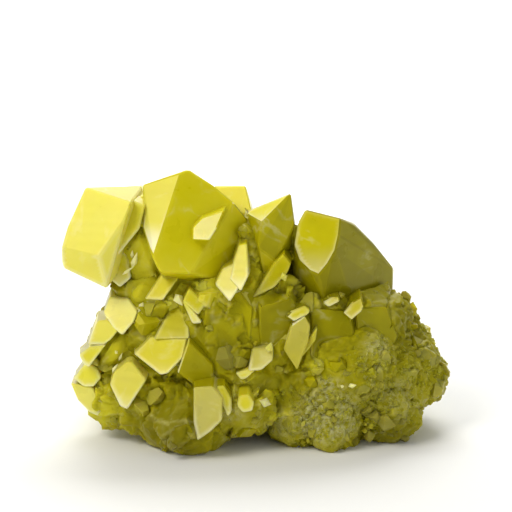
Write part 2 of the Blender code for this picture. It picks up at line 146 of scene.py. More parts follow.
def flatFaces(points, normals, layer):
    # Crystal faces on a swelling surface. The points nearest to one spot share a plane through
    # their mean, square to their mean normal after a random tilt. Two neighbouring planes meet
    # in a ridge where the second face lies below the first one's plane, else in a valley: the
    # lower or the higher of the two is the surface. Gives each point's way along its normal to
    # that surface, its face's random number, and how close it is to a ridge, 0 to 1.
    size = layer["size"] * mm
    _, cubes = nearestSpots(points, size, layer["seed"])
    known, owner = np.unique(cubes[0], return_inverse=True)
    count = np.bincount(owner)[:, None]
    middle, facing = [np.stack([np.bincount(owner, field[:, k]) for k in range(3)], axis=1) / count
                      for field in (points, normals)]
    chance = np.random.default_rng(layer["seed"])
    facing /= np.linalg.norm(facing, axis=1)[:, None]
    facing += chance.normal(0, layer["tilt"], facing.shape)
    facing /= np.linalg.norm(facing, axis=1)[:, None]
    numbers = chance.uniform(0, 1, len(known))
    number = numbers[owner]
    ridge = np.zeros(len(points))
    for rank in range(3):
        plane = np.minimum(np.searchsorted(known, cubes[rank]), len(known) - 1)
        plane = np.where(known[plane] == cubes[rank], plane, owner)
        across = np.maximum((normals * facing[plane]).sum(axis=1), faceLimits["slope"])
        height = ((middle[plane] - points) * facing[plane]).sum(axis=1) / across
        if rank == 0:
            way = height
            continue
        below = ((middle[plane] - middle[owner]) * facing[owner]).sum(axis=1) < 0
        wins = np.where(below, height < way, height > way) & (plane != owner)
        bend = 1 - (facing[plane] * facing[owner]).sum(axis=1)
        close = np.exp(-((height - way) / (faceLimits["ridge"] * size)) ** 2)
        close = close * smooth(bend, *faceLimits["bend"])
        ridge = np.maximum(ridge, np.where(below & (plane != owner), close, 0))
        number = np.where(wins, numbers[plane], number)
        way = np.where(wins, height, way)
    most = faceLimits["most"] * size
    return np.clip(way, -most, most), number, ridge


def zoneWeight(points, zones):  # 1 inside of any zone, fading to 0 over its outer part
    weight = np.zeros(len(points))
    for zone in zones:
        reach = np.linalg.norm((toTable(points) - zone["at"]) / zone["radii"], axis=1)
        rim = 1 - zone.get("fade", 0.7)
        weight = np.maximum(weight, zone.get("weight", 1) * (1 - smooth(reach, rim, 1)))
    return weight


def addObject(name, data):
    obj = bpy.data.objects.new(name, data)
    bpy.context.scene.collection.objects.link(obj)
    return obj


def addPiece(name, mesh, material):
    obj = addObject(name, mesh)
    mesh.materials.clear()
    mesh.materials.append(material)
    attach(obj, bodyName)
    return obj


def setAttribute(mesh, name, domain, values):
    layer = mesh.attributes.new(name, "FLOAT", domain)
    layer.data.foreach_set("value", np.asarray(values, np.float32))


def setLook(mesh, domain, tone, milk, frost):  # what the materials read
    for name, values in {"tone": tone, "milk": milk, "frost": frost}.items():
        setAttribute(mesh, name, domain, values)


def readAll(items, name, width=1, kind=np.float32):  # one property of all items as an array
    flat = np.empty(len(items) * width, kind)
    items.foreach_get(name, flat)
    return flat if width == 1 else flat.reshape(-1, width)


def pointsOf(mesh):
    return readAll(mesh.vertices, "co", 3).astype(float)


def putPoints(mesh, points):
    mesh.vertices.foreach_set("co", points.astype(np.float32).ravel())
    mesh.update()


def pointNormals(mesh):
    return readAll(mesh.vertex_normals, "vector", 3).astype(float)


def facePlanes(mesh):  # the middle and the normal of each face
    return [readAll(mesh.polygons, name, 3).astype(float) for name in ("center", "normal")]


def cornersOf(mesh):  # the point of each face corner, and the face that it belongs to
    sizes = readAll(mesh.polygons, "loop_total", kind=np.int32)
    return readAll(mesh.loops, "vertex_index", kind=np.int32), np.repeat(np.arange(len(sizes)), sizes)


def neighbourMean(values, ends):  # mean of each point's neighbours along the edges
    count = np.maximum(np.bincount(ends.ravel(), minlength=len(values)), 1)
    both = np.stack([
        np.bincount(ends[:, 0], values[ends[:, 1], k], len(values))
        + np.bincount(ends[:, 1], values[ends[:, 0], k], len(values))
        for k in range(values.shape[1])
    ], axis=1)
    return both / count[:, None]


# Degrees, metres for the distance and the clipping, millimetres for the rest.
view = {
    "elevation": 11, "distance": 0.39822, "lookAt": (0.04, -5.19, 49.6),
    "lens": 100, "sensor": 36, "clip": (0.01, 20),
}


def standBack(obj, aim, toward, away):  # from the aim, and look at it
    obj.location = aim + toward * away
    obj.rotation_mode = "QUATERNION"
    obj.rotation_quaternion = (-toward).to_track_quat("-Z", "Y")


def makeCamera():
    data = bpy.data.cameras.new("camera")
    data.lens, data.sensor_width = view["lens"], view["sensor"]
    data.clip_start, data.clip_end = view["clip"]
    camera = addObject("camera", data)
    rise = math.radians(view["elevation"])
    toward = Vector((0, -math.cos(rise), math.sin(rise)))
    standBack(camera, Vector(view["lookAt"]) * mm, toward, view["distance"])
    bpy.context.scene.camera = camera


# Square soft boxes, in metres and watts. The one called paper lights the background.
lamps = {
    "key": {"from": (-0.54, -0.45, 0.71), "away": 0.8, "size": 0.34, "power": 3.0, "colour": "#FFFBF0"},
    "fill": {"from": (0.75, -0.62, 0.25), "away": 1.1, "size": 0.8, "power": 1.5, "colour": "#F4F6FF"},
    "paper": {"from": (0, -0.5, 0.9), "away": 1.2, "size": 1.0, "power": 26, "colour": "#FFFFFF",
              "aim": (0, 1.5, 0.35)},
    "back": {"from": (-0.35, 0.8, 0.5), "away": 0.9, "size": 0.5, "power": 1.0, "colour": "#FFFDF6"},
}
studio = {"aim": (0, 0, 0.036), "colour": "#F4F5F7", "strength": 0.42}  # half way up the cluster


def makeLight():
    for name, lamp in lamps.items():
        data = bpy.data.lights.new(name, "AREA")
        data.size, data.energy = lamp["size"], lamp["power"]
        data.color = linearColour(lamp["colour"])[:3]
        aim = Vector(lamp.get("aim", studio["aim"]))
        standBack(addObject(name, data), aim, Vector(lamp["from"]).normalized(), lamp["away"])
    world = bpy.data.worlds.new("studio")
    world.use_nodes = True
    sky = world.node_tree.nodes["Background"]
    sky.inputs["Color"].default_value = linearColour(studio["colour"])
    sky.inputs["Strength"].default_value = studio["strength"]
    bpy.context.scene.world = world
    bpy.context.scene.view_settings.view_transform = "Standard"


sweep = {"front": -1.6, "bend": 0.9, "radius": 0.6, "top": 2.2, "half": 2.6, "steps": 24}  # metres


def makeFloor(material):
    # A profile carried sideways: flat floor, a quarter circle, then a wall.
    turn = np.linspace(0, math.pi / 2, sweep["steps"])
    radius, wall = sweep["radius"], sweep["bend"] + sweep["radius"]
    y = np.concatenate([[sweep["front"]], sweep["bend"] + radius * np.sin(turn), [wall]])
    z = np.concatenate([[0], radius * (1 - np.cos(turn)), [sweep["top"]]])
    x = np.repeat([-sweep["half"], sweep["half"]], len(y))
    row = np.arange(len(y) - 1)
    faces = np.stack([row, row + len(y), row + len(y) + 1, row + 1], axis=1)
    mesh = bpy.data.meshes.new("floor")
    mesh.from_pydata(np.stack([x, np.tile(y, 2), np.tile(z, 2)], axis=1), [], faces)
    mesh.materials.append(material)
    addObject("floor", mesh)


def addNode(tree, kind, settings=None, inputs=None, links=None):
    # One shader node, its settings, the values of its sockets, and what feeds them.
    node = tree.nodes.new("ShaderNode" + kind)
    for key, value in (settings or {}).items():
        setattr(node, key, value)
    for key, value in (inputs or {}).items():
        node.inputs[key].default_value = value
    for key, source in (links or {}).items():
        tree.links.new(source, node.inputs[key])
    return node


def paperFloor():  # background paper: uncoated, matt white
    material = bpy.data.materials.new("background_paper")
    material.use_nodes = True
    shader = material.node_tree.nodes["Principled BSDF"]
    shader.inputs["Base Color"].default_value = linearColour("#F2F2F0")
    shader.inputs["Roughness"].default_value = 0.9
    return material


# What both finishes share: the index, the shine's colour, how deep red, green and blue go in,
# how much tone the clouds take or add, and how wide the healed cracks are. A noise has its size
# in millimetres, detail, roughness and distortion.
sulfur = {
    "index": 1.98, "tint": "#FFF27A", "depth": 4, "shares": (1.0, 0.75, 0.12),
    "cloudTone": 0.3, "crackWidth": 0.035, "pits": (4.0, 0.6, 0),
    "noises": {"cloud": (9, 3.0, 0.55, 0), "speck": (1.6, 2.0, 0.6, 0), "crack": (15, 4.0, 0.5, 0.8)},
}
# What differs: five colours, the least and the most roughness, how much of the shine shows
# (0.5 is all of it), how much light scatters inside, how white the healed cracks are, and the
# relief: how wide and how strong the growth steps and the pits are, and how deep both.
sulfurLooks = {
    "resinous_sulfur_crystal": {
        "olive": "#867F02", "clear": "#CCC20A", "pale": "#E9E14E", "milk": "#F1EDC8", "frost": "#C9C7A0",
        "gloss": (0.22, 0.36), "shine": 0.18, "glow": 0.45, "veil": 0.19,
        "steps": (2.4, 0.16), "pits": (2.2, 0.25), "relief": 0.12,
    },
    "granular_massive_sulfur": {
        "olive": "#6C6602", "clear": "#9C9406", "pale": "#C6BE24", "milk": "#E2DEA0", "frost": "#C6C288",
        "gloss": (0.34, 0.5), "shine": 0.14, "glow": 0.4, "veil": 0.15,
        "steps": (1.2, 0.1), "pits": (0.7, 0.4), "relief": 0.12,
    },
}
bandPitch = 0.314  # the step between a wave texture's bands at scale 1, two pi over twenty


def sulfurMaterial(name):
    # Native sulfur, grown from vapour or brine, with indices from 1.96 to 2.24: a resinous to
    # greasy shine, light that comes out a few millimetres on, milky where thin or cracked, and on the
    # crystals partly painted highlight in the same milk colour.
    look = sulfurLooks[name]
    material = bpy.data.materials.new(name)
    material.use_nodes = True
    tree = material.node_tree
    place = addNode(tree, "TexCoord").outputs["Object"]
    tone, milk, frost = [addNode(tree, "Attribute", {"attribute_name": attribute}).outputs["Fac"]
                         for attribute in ("tone", "milk", "frost")]
    stepSize, stepStrength = look["steps"]
    pitSize, pitStrength = look["pits"]
    noises = {**sulfur["noises"], "pits": (pitSize, *sulfur["pits"])}
    for kind, (size, detail, roughness, distortion) in noises.items():
        noises[kind] = addNode(tree, "TexNoise", None, {
            "Scale": 1 / (size * mm), "Detail": detail, "Roughness": roughness, "Distortion": distortion,
        }, {"Vector": place}).outputs["Fac"]
    # tone 0 is olive, 0.5 clear yellow, 1 pale
    most = sulfur["cloudTone"]
    shift = addNode(tree, "Math", {"operation": "MULTIPLY_ADD"},
                    {1: most, 2: -most / 2}, {0: noises["cloud"]}).outputs[0]
    grade = addNode(tree, "Math", {"operation": "ADD", "use_clamp": True},
                    None, {0: tone, 1: shift}).outputs[0]
    ramp = addNode(tree, "ValToRGB", None, None, {"Fac": grade})
    first, last = ramp.color_ramp.elements
    first.color, last.color = linearColour(look["olive"]), linearColour(look["pale"])
    ramp.color_ramp.elements.new(0.5).color = linearColour(look["clear"])
    # healed cracks: thin wavy sheets inside the crystal, where a noise crosses its middle value
    offset = addNode(tree, "Math", {"operation": "SUBTRACT"}, {1: 0.5}, {0: noises["crack"]}).outputs[0]
    crossing = addNode(tree, "Math", {"operation": "ABSOLUTE"}, None, {0: offset}).outputs[0]
    veil = addNode(tree, "MapRange", None,
                   {"From Max": sulfur["crackWidth"], "To Min": look["veil"], "To Max": 0.0},
                   {"Value": crossing}).outputs[0]
    patchy = addNode(tree, "MapRange", None,
                     {"From Min": 0.5, "From Max": 0.66}, {"Value": noises["cloud"]}).outputs[0]
    veiled = addNode(tree, "Math", {"operation": "MULTIPLY_ADD", "use_clamp": True},
                     None, {0: veil, 1: patchy, 2: milk}).outputs[0]
    crumbs = addNode(tree, "MapRange", None,
                     {"From Min": 0.36, "From Max": 0.7}, {"Value": noises["speck"]}).outputs[0]
    frosty = addNode(tree, "Math", {"operation": "MULTIPLY", "use_clamp": True},
                     None, {0: frost, 1: crumbs}).outputs[0]
    colour = ramp.outputs["Color"]
    for layer, amount in {"milk": veiled, "frost": frosty}.items():
        colour = addNode(tree, "Mix", {"data_type": "RGBA", "clamp_factor": True},
                         {"B": linearColour(look[layer])},
                         {"Factor": amount, "A": colour}).outputs["Result"]
    low, high = look["gloss"]
    rough = addNode(tree, "MapRange", None,
                    {"To Min": low, "To Max": high}, {"Value": noises["cloud"]}).outputs[0]
    bands = addNode(tree, "TexWave", {"bands_direction": "Z"},
                    {"Scale": bandPitch / (stepSize * mm), "Distortion": 5.0, "Detail": 2.0,
                     "Detail Scale": 0.6}, {"Vector": place}).outputs["Fac"]
    steps = addNode(tree, "Bump", None, {"Strength": stepStrength, "Distance": look["relief"] * mm},
                    {"Height": bands}).outputs["Normal"]
    bump = addNode(tree, "Bump", None, {"Strength": pitStrength, "Distance": look["relief"] * mm},
                   {"Height": noises["pits"], "Normal": steps}).outputs["Normal"]
    shader = tree.nodes["Principled BSDF"]
    for socket, source in {"Base Color": colour, "Roughness": rough, "Normal": bump}.items():
        tree.links.new(source, shader.inputs[socket])
    for socket, value in {
        "IOR": sulfur["index"], "Specular IOR Level": look["shine"],
        "Specular Tint": linearColour(sulfur["tint"]), "Subsurface Weight": look["glow"],
        "Subsurface Radius": sulfur["shares"], "Subsurface Scale": sulfur["depth"] * mm,
    }.items():
        shader.inputs[socket].default_value = value
    return material


# Crystals whose faces stay sharp: a point of the broad face, how far the crystal reaches
# from it, its tone (0 olive, 0.5 clear yellow, 1 pale), and if it has any, how milky its lower
# edge and ridges are, which shows partly as milkiness and partly as painted highlight on the
# faces toward the key light, and the haze all through it.
sharpCrystals = {
    "shoulder_block": {"at": (-43, -9, 58), "reach": 19, "tone": 0.85, "milk": 0.25, "haze": 0.15},
    "shoulder_step": {"at": (-35, -12, 59), "reach": 9, "tone": 0.65, "milk": 0.45},
    "saddle": {"at": (-31, -4, 61), "reach": 10, "tone": 0.7, "milk": 0.4},
    "shoulder_chip": {"at": (-37, -11, 49), "reach": 6, "tone": 0.7, "milk": 0.5},
    "summit": {"at": (-16, -6, 58), "reach": 22, "tone": 0.48, "milk": 0.05},
    "summit_left": {"at": (-27, -9, 63), "reach": 8, "tone": 0.7, "milk": 1.0, "haze": 0.15},
    "summit_chip": {"at": (-13, -17, 61), "reach": 6, "tone": 0.7, "milk": 1.0, "haze": 0.5},
    "back_tooth": {"at": (-4, 10, 62), "reach": 12, "tone": 0.68, "milk": 0.1, "haze": 0.1},
    "wedge": {"at": (3, -6, 59), "reach": 15, "tone": 0.2},
    "wedge_front": {"at": (1.5, -9, 64), "reach": 5, "tone": 0.95, "milk": 0.8},
    "wedge_foot": {"at": (5, -15, 47), "reach": 8, "tone": 0.42, "milk": 0.15},
    "dome": {"at": (16.5, -11, 55.5), "reach": 13, "tone": 0.44, "milk": 0.5},
    # The dome's right side, nearly olive: painted shade on the side away from the key light.
    "dome_side": {"at": (26, -4, 48), "reach": 30, "tone": 0.04},
    "upper_blade": {"at": (-4.5, -17, 50), "reach": 7.5, "tone": 0.66, "milk": 0.9, "haze": 0.25},
    "lower_blade": {"at": (-7, -17.5, 46), "reach": 5.2, "tone": 0.68, "milk": 0.95, "haze": 0.35},
    "neck_block": {"at": (-36.5, -15, 36.5), "reach": 8, "tone": 0.78, "milk": 0.6, "haze": 0.4},
    "nape": {"at": (-29.5, -17.5, 33.5), "reach": 5.5, "tone": 0.28, "milk": 0.05},
    "neck_slab": {"at": (-25.5, -15, 44), "reach": 6.5, "tone": 0.4, "milk": 0.2},
    "cheek_upper": {"at": (-41.5, -14, 30.5), "reach": 6.5, "tone": 0.8, "milk": 0.6, "haze": 0.15},
    "cheek_lower": {"at": (-45, -15.5, 25), "reach": 6, "tone": 0.75, "milk": 0.35},
    "heel_upper": {"at": (-46, -13, 18.5), "reach": 6.5, "tone": 0.9, "milk": 0.4},
    "heel_lower": {"at": (-46.5, -13, 11.5), "reach": 7.5, "tone": 0.8, "milk": 0.4, "haze": 0.25},
    "diamond": {"at": (-34.5, -21.5, 18.5), "reach": 8.5, "tone": 0.68, "milk": 0.5, "haze": 0.15},
    "breast": {"at": (-25, -21.5, 27), "reach": 10, "tone": 0.35, "milk": 0.5},
    "breast_top": {"at": (-21.5, -17.5, 34.5), "reach": 7.5, "tone": 0.31, "milk": 0.2},
    "collar_block": {"at": (-16.5, -19, 40.5), "reach": 5, "tone": 0.6, "milk": 0.2},
    "collar_strip": {"at": (-17.5, -19, 38), "reach": 5, "tone": 0.8, "milk": 0.6},
    "toe_spear": {"at": (-13, -30, 13.5), "reach": 9, "tone": 0.36, "milk": 0.35, "haze": 0.26},
    "toe_side": {"at": (-8, -28, 15.5), "reach": 5.5, "tone": 0.6, "milk": 0.3},
    "pebble": {"at": (-2.5, -28.5, 15), "reach": 4.5, "tone": 0.7, "milk": 0.3},
    "claw": {"at": (1.5, -23.5, 26), "reach": 5.5, "tone": 0.3, "milk": 0.6, "haze": 0.2},
    "claw_tip": {"at": (-2.5, -24, 22), "reach": 4.5, "tone": 0.8, "milk": 0.8},
    "leaf": {"at": (11.5, -21, 30.5), "reach": 9, "tone": 0.34, "milk": 0.12, "haze": 0.16},
    "left_fleck": {"at": (11.5, -19, 37.5), "reach": 4.5, "tone": 0.5, "milk": 0.4},
    "middle_fleck": {"at": (20.5, -17, 40.5), "reach": 3.5, "tone": 0.38, "milk": 0.35},
    "right_fleck": {"at": (26.5, -17, 38.5), "reach": 4.5, "tone": 0.35, "milk": 0.4},
    "leaf_spike": {"at": (14.5, -20.5, 30), "reach": 4.5, "tone": 0.4, "milk": 0.12, "haze": 0.1},
    "leaf_foot": {"at": (18.5, -20.5, 23), "reach": 4, "tone": 0.2},
    "block_top": {"at": (-38, -5, 68.5), "reach": 9, "tone": 0.55},
    # Tone 1.0 here is painted light that lifts the shade between the block and the summit.
    "block_side": {"at": (-34.5, -13, 60), "reach": 7, "tone": 1.0, "milk": 0.6},
    "belly_top": {"at": (5, -13, 41.5), "reach": 6, "tone": 0.06},
    "belly_corner": {"at": (10.5, -11, 42), "reach": 5, "tone": 0.06},
    "flank_top": {"at": (18, -13, 40), "reach": 7, "tone": 0.08},
    "side_lid": {"at": (31.5, -6.5, 39), "reach": 7, "tone": 0.08},
    "side_top": {"at": (35, 1, 39.5), "reach": 14, "tone": 0.08},
    "belly": {"at": (-7, -18, 35.5), "reach": 7, "tone": 0.16},
    "belly_side": {"at": (6, -18, 34.5), "reach": 7.5, "tone": 0.06},
    "flank": {"at": (20, -17, 31.5), "reach": 8, "tone": 0.08},
    "flank_side": {"at": (33, -13, 31), "reach": 9, "tone": 0.08},
    "breast_side": {"at": (-15.5, -22.5, 23), "reach": 6.5, "tone": 0.16},
}

# The lumps of the granular mass, as in the part: middle and radii, and their roughness.
massLumps = [
    ((-6, 4, 27), (27, 25, 27)), ((23, 5, 19), (28, 26, 22)), ((-19, 7, 47), (21, 18, 15)),
    ((-21, -6, 28), (15, 14.5, 14)), ((-31, -2, 50), (10, 10.5, 12)), ((0, -1, 52), (9, 10, 10)),
    ((36, 1, 30), (8, 12, 8.5)), ((49.5, -1, 15), (4.5, 6, 4.5)), ((-31, -12, 8.5), (7, 9, 6)),
    ((4, -6, 25), (22, 14, 14)), ((-29, -3, 37), (11, 14, 12)), ((-37.5, -2, 26), (9, 12, 10)),
    ((-31, 3, 17), (16, 22, 14)), ((-40, -8, 11), (8, 9, 7)), ((-19, -12, 8), (13.5, 17.5, 11)),
    ((-4, -19, 11), (9, 8, 6.5)), ((10.5, -10, 7), (6, 12, 9)), ((21, -12, 7), (9, 12, 10)),
    ((36, -6, 8), (10, 13, 11)), ((39, 4, 16), (13, 18, 13)), ((-4, 20, 20), (32, 15, 21)),
]
lumpTexture = {"fineness": 2, "roughness": 0.16, "grain": 9, "fractal": (1.0, 2.0, 3)}
# Where the mass is made of loose grains, where it is smooth, and where pale frost lies on it:
# ellipsoids in millimetres. Fade is the outer part over which one ends, 0.7 unless it says so.
granularZones = [
    {"at": (36, -6, 16), "radii": (24, 30, 22), "fade": 0.4},
    {"at": (16, -16, 8), "radii": (16, 16, 13), "fade": 0.4},
    {"at": (0, 26, 16), "radii": (40, 18, 24), "fade": 0.5, "weight": 0.6},
]
calmZones = [
    {"at": (0, -20, 33), "radii": (26, 14, 17), "fade": 0.4, "weight": 0.85},
    {"at": (-33, -12, 52), "radii": (8, 9, 10), "fade": 0.5, "weight": 0.85},
    {"at": (-27, -20, 20), "radii": (16, 14, 17), "fade": 0.4, "weight": 0.7},
]
frostZones = [
    {"at": (19, -23, 10), "radii": (13, 10, 10), "fade": 0.55},
    {"at": (20, -22, 18), "radii": (6, 7, 4), "fade": 0.8, "weight": 0.9},
    {"at": (-3, -25, 18.5), "radii": (6, 7, 5), "fade": 0.8, "weight": 0.9},
    {"at": (-7, -26, 12), "radii": (6, 6, 4), "fade": 0.8, "weight": 0.6},
    {"at": (33, -18, 28), "radii": (7, 7, 4), "fade": 0.8, "weight": 0.7},
    {"at": (38, -17, 14), "radii": (9, 10, 7), "fade": 0.8, "weight": 0.6},
    {"at": (7, -19, 7), "radii": (7, 8, 6), "fade": 0.8, "weight": 0.8},
    {"at": (10, 30, 14), "radii": (24, 14, 14), "fade": 0.8, "weight": 0.5},
]

# The crystals whose tops have grown over.
buriedTops = [
    "belly_top", "belly_corner", "flank_top", "side_lid", "side_top", "belly_side", "flank", "flank_side",
]
# Where the mass is painted paler than round about, light that lifts the shade in its crevices and
# hollows, and where it is painted darker, shade, by how much tone.
lightAndShadeZones = [
    {"at": (-32, -12, 54), "radii": (9, 10, 9), "tone": 0.55},
    {"at": (-27, -14, 42.5), "radii": (12, 9, 6), "tone": 0.5},
    {"at": (-19, -14, 43), "radii": (10, 9, 8), "tone": 0.55},
    {"at": (-43, -14, 11), "radii": (6, 8, 9), "fade": 0.6, "tone": 0.6},
    {"at": (-40.5, -14.5, 27), "radii": (5, 6, 5), "fade": 0.6, "tone": 0.5},
    {"at": (-31, -18, 13), "radii": (7, 8, 7), "tone": 0.5},
    {"at": (-22, -18, 22), "radii": (6, 7, 4), "tone": 0.3},
    {"at": (-2, -24, 19), "radii": (9, 9, 6), "tone": 0.5},
    {"at": (15, -19, 24), "radii": (5, 6, 6), "tone": 0.4},
    {"at": (-12, -12, 49), "radii": (6, 8, 9), "tone": 0.35},
    {"at": (6, -19, 11), "radii": (5, 10, 11), "tone": 0.4},
    {"at": (1, -12, 48), "radii": (5, 9, 11), "tone": 0.4},
    {"at": (-8, -20, 27), "radii": (7, 9, 7), "tone": -0.2},
    {"at": (-24, -26, 9), "radii": (16, 14, 13), "tone": -0.45},
    {"at": (44, -6, 30), "radii": (10, 14, 14), "tone": -0.25},
    {"at": (37.5, -17, 5), "radii": (10, 11, 8), "tone": -0.35},
    {"at": (12, -13, 45), "radii": (8, 8, 9), "tone": 0.7},
    {"at": (8, -7, 55), "radii": (5, 9, 9), "tone": 0.35},
]


# Painted light and shade: the zones' changes of tone at these points.
def paintedLightAndShade(points):
    return sum(zone["tone"] * zoneWeight(points, [zone]) for zone in lightAndShadeZones)


def lumpFacets():
    # The lumps' flat facets, worked out as the part does: an icosphere stretched to the radii,
    # each corner moved along its own radius by fractal noise, which Blender gives spot by spot.
    bm = bmesh.new()
    bmesh.ops.create_icosphere(bm, subdivisions=lumpTexture["fineness"], radius=1)
    mesh = bpy.data.meshes.new("icosphere")
    bm.to_mesh(mesh)
    bm.free()
    corners, faces = pointsOf(mesh), cornersOf(mesh)[0].reshape(-1, 3)
    bpy.data.meshes.remove(mesh)
    facets = []
    for middle, radii in massLumps:
        reach = corners * radii
        rough = [noise.fractal(Vector(spot) / lumpTexture["grain"], *lumpTexture["fractal"])
                 for spot in reach + middle]
        swollen = reach * (1 + lumpTexture["roughness"] * np.array(rough))[:, None]
        facets.append(toFrame(swollen + middle)[faces])
    return np.concatenate(facets)


onFacet = {"angle": 1.2, "gap": 0.06}  # how far off a face may be, degrees and millimetres


def onLump(middles, normals):  # whether each face lies on a facet of a lump
    facets = lumpFacets()
    centres = facets.mean(axis=1)
    facing = np.cross(facets[:, 1] - facets[:, 0], facets[:, 2] - facets[:, 0])
    facing /= np.linalg.norm(facing, axis=1)[:, None]
    reach = np.linalg.norm(facets - centres[:, None], axis=2).max(axis=1)
    aligned = np.abs(normals @ facing.T) > math.cos(math.radians(onFacet["angle"]))
    level = np.abs(middles @ facing.T - (centres * facing).sum(axis=1)) < onFacet["gap"] * mm
    gaps = np.linalg.norm(middles[:, None] - centres[None], axis=2)
    return (aligned & level & (gaps < reach)).any(axis=1)


nodeFaces = {"weld": 0.001, "flat": 0.6}  # corners this close are one, bends below this are none


def mergedNode():
    # The node's own mesh with its loose triangles merged and its flat faces made whole.
    bm = bmesh.new()
    bm.from_mesh(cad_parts[nodeName].data)
    bmesh.ops.remove_doubles(bm, verts=bm.verts, dist=nodeFaces["weld"] * mm)
    bmesh.ops.dissolve_limit(bm, angle_limit=math.radians(nodeFaces["flat"]),
                             verts=bm.verts, edges=bm.edges)
    mesh = bpy.data.meshes.new("cluster_surface")
    bm.to_mesh(mesh)
    bm.free()
    return mesh


# The faces of no named crystal: their tone, the depths over which that turns to the one behind,
# and the size and height of its clouds there. A buried top faces up by more than top.
plainFaces = {
    "tone": 0.14, "behind": (2, 12), "rearTone": 0.36, "rearClouds": (8, 0.24), "rearMilk": 0.12,
    "top": 0.4, "floor": 0.01, "seed": 4,
}


def faceValues(mesh):
    # For each flat face: whether it stays sharp or has grown over, its tone, how milky and how
    # hazy it is, and the number of the crystal above that it belongs to, or -1.
    middles, normals = facePlanes(mesh)
    sharp = np.where(onLump(middles, normals), 0.0, 1.0)
    away = np.linalg.norm(toTable(middles)[:, None] - column(sharpCrystals, "at"), axis=2)
    away /= column(sharpCrystals, "reach")
    owned = np.where(away.min(axis=1) < 1, away.argmin(axis=1), -1)
    tone, milk, haze = [np.append(column(sharpCrystals, key), plain)[owned]
                        for key, plain in (("tone", plainFaces["tone"]), ("milk", 0), ("haze", 0))]
    loose = (zoneWeight(middles, granularZones[:2]) > 0.5) & (owned < 0)  # the two zones in front
    buried = np.isin(np.array(list(sharpCrystals))[owned], buriedTops) & (owned >= 0)
    buried = buried & (normals[:, 2] > plainFaces["top"])
    under = np.abs(middles[:, 2]) < plainFaces["floor"] * mm
    sharp[loose | buried | under] = 0
    behind = smooth(middles[:, 1] / mm, *plainFaces["behind"])
    size, depth = plainFaces["rearClouds"]
    rear = plainFaces["rearTone"] + depth * softNoise(middles, size * mm, plainFaces["seed"], 2)
    # The plain faces take the painted light and shade of the zones.
    tone = lerp(np.where(owned < 0, tone + paintedLightAndShade(middles), tone), rear, behind)
    milk = np.where(owned < 0, plainFaces["rearMilk"] * behind, milk)
    return {"normals": normals, "sharp": sharp, "buried": buried, "owned": owned,
            "tone": tone, "milk": milk, "haze": haze}


# The sharp crystals, in millimetres. Ways down a crystal are from its middle, in reaches.
crystalSkin = {
    "inset": 1.6, "net": 1.3, "rounds": 6,  # how deep the rest sinks, longest edge, cuts at most
    "faceTone": 0.05, "facings": 40,  # tone from face to face, by the facing in steps of 1/40
    "light": (0.4, 0.3), "lit": (0.2, 0.7),  # faces up, left and front, toward the key light, are lit, by a soft limit; the milk shows on them, a painted highlight
    "clouds": (5, 0.25), "seed": 4,  # size and depth of the patches in the milk
    "rim": 0.45, "rimMilkAndHighlight": 0.85, "rimFull": 0.4,  # width, milk and painted edge highlight, and the body's milk it needs
    "rimTop": 0.2, "rimFall": (-0.4, 0.5),  # its share high up, and the way down it grows over
    "foot": 0.9, "footWave": 0.3,  # how far down the milk is full, and how uneven its edge is
    "ridge": 14, "slab": 4, "near": 2, "batch": 1500000,  # degrees, and how distances are found
}


def ridgesOf(surface, sharp):
    # The two ends of every edge of a sharp face that bends outwards by more than the ridge angle.
    bm = bmesh.new()
    bm.from_mesh(surface)
    least = math.radians(crystalSkin["ridge"])
    ends = [[v.co[:] for v in edge.verts] for edge in bm.edges
            if len(edge.link_faces) == 2 and edge.calc_face_angle_signed() > least
            and any(sharp[face.index] > 0.5 for face in edge.link_faces)]
    bm.free()
    return np.array(ends)


def distanceTo(ends, points):
    # From each point to the nearest place on any of the straight edges, which is the point's
    # share along the edge, kept between 0 and 1. Slabs across x are taken one by one, with the
    # edges near each, and a point that is near none counts as far.
    slab, near = crystalSkin["slab"] * mm, crystalSkin["near"] * mm
    start, along = ends[:, 0], ends[:, 1] - ends[:, 0]
    squared = (along ** 2).sum(axis=1)
    least, most = ends[:, :, 0].min(axis=1), ends[:, :, 0].max(axis=1)
    nearest = np.full(len(points), 9 * near)
    for first in np.arange(points[:, 0].min(), points[:, 0].max() + slab, slab):
        here = np.flatnonzero((points[:, 0] >= first) & (points[:, 0] < first + slab))
        edges = np.flatnonzero((most > first - near) & (least < first + slab + near))
        parts = max(1, len(here) * len(edges) // crystalSkin["batch"])
        for part in np.array_split(here, parts):
            if len(part) and len(edges):
                away = points[part, None] - start[None, edges]
                share = np.clip((away * along[edges]).sum(axis=2) / squared[edges], 0, 1)
                gaps = away - share[:, :, None] * along[edges]
                nearest[part] = np.sqrt((gaps ** 2).sum(axis=2).min(axis=1))
    return nearest


def fineNet(surface, values):
    # The surface in triangles, the faces marked cut divided until no edge is longer than the net.
    # Each value is given to its face first, and the pieces of the face take it over.
    mesh = surface.copy()
    mesh.name = "sulfur_crystals"
    for name, value in values.items():
        setAttribute(mesh, name, "FACE", value)
    bm = bmesh.new()
    bm.from_mesh(mesh)
    cut = bm.faces.layers.float["cut"]
    for _ in range(crystalSkin["rounds"]):
        bmesh.ops.triangulate(bm, faces=bm.faces)
        long = [edge for edge in bm.edges if edge.calc_length() > crystalSkin["net"] * mm
                and any(face[cut] > 0.5 for face in edge.link_faces)]
        bmesh.ops.subdivide_edges(bm, edges=long, cuts=1)
    bmesh.ops.triangulate(bm, faces=bm.faces)
    bm.to_mesh(mesh)
    bm.free()
    carried = {}
    for name in values:
        carried[name] = readAll(mesh.attributes[name].data, "value").astype(float)
        mesh.attributes.remove(mesh.attributes[name])
    return mesh, carried


